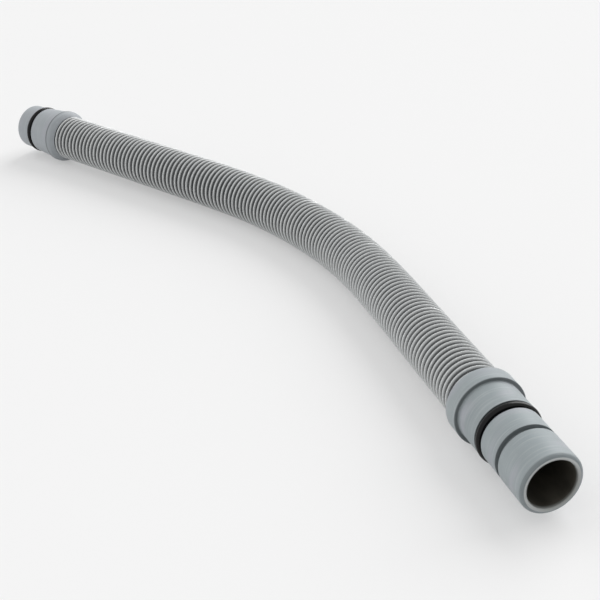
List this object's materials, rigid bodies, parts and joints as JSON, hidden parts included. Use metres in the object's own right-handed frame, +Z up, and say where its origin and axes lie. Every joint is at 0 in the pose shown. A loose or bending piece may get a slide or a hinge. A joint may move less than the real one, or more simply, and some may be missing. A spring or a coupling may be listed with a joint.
{
  "type": "dishwasher fill hose",
  "caption": "Grey corrugated plastic fill hose for a dishwasher, lying in one gentle bend, with a moulded cuff on each end and a black rubber O-ring in a groove of each cuff.",
  "frame": {"origin": "middle of the bounding box's bottom face, on the table that the hose lies on", "axes": "+X from the rear cuff to the front cuff, the mouth with the chamfered rim; +Y towards the outside of the bend; +Z up"},
  "size_m": [0.5549, 0.0935, 0.0355],
  "materials": {
    "hose_plastic": "satin corrugated tube, mid grey",
    "cuff_plastic": "matte blue-grey moulding with faint scuffs round it",
    "seal_rubber": "smooth black with a soft highlight"
  },
  "bodies": {
    "root": {"corrugated_hose": "hose_plastic", "front_cuff": "cuff_plastic", "front_o_ring": "seal_rubber", "rear_cuff": "cuff_plastic", "rear_o_ring": "seal_rubber"}
  },
  "joints": []
}
